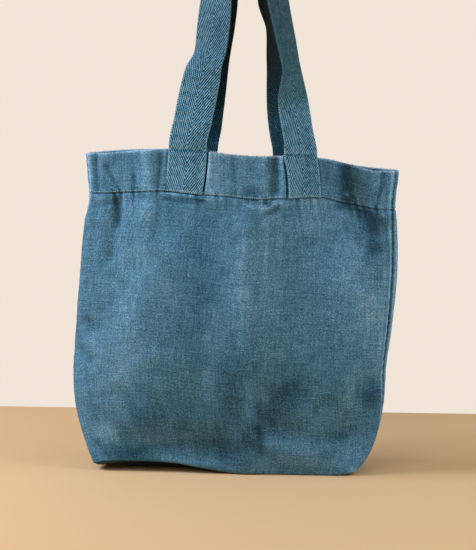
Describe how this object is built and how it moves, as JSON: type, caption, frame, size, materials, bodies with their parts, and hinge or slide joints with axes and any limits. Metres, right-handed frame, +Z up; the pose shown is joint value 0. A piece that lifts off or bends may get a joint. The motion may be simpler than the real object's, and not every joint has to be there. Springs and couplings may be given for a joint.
{
  "type": "linen tote bag",
  "caption": "Washed linen tote bag standing open, with a turned hem, a boxed base and herringbone webbing handles sewn on outside the rim.",
  "frame": {"origin": "on the table under the middle of the bag's outline", "axes": "+Z up, +X to the right across the front, +Y from the front panel to the back panel"},
  "size_m": [0.3743, 0.093, 0.6859],
  "materials": {
    "linen": "matte stone-washed plain-weave linen, teal blue, with slubs and paler worn edges",
    "webbing": "matte herringbone webbing in the same teal blue, with paler edges"
  },
  "bodies": {
    "root": {"front_panel": "linen", "back_panel": "linen", "front_handle": "webbing", "back_handle": "webbing"}
  },
  "joints": []
}
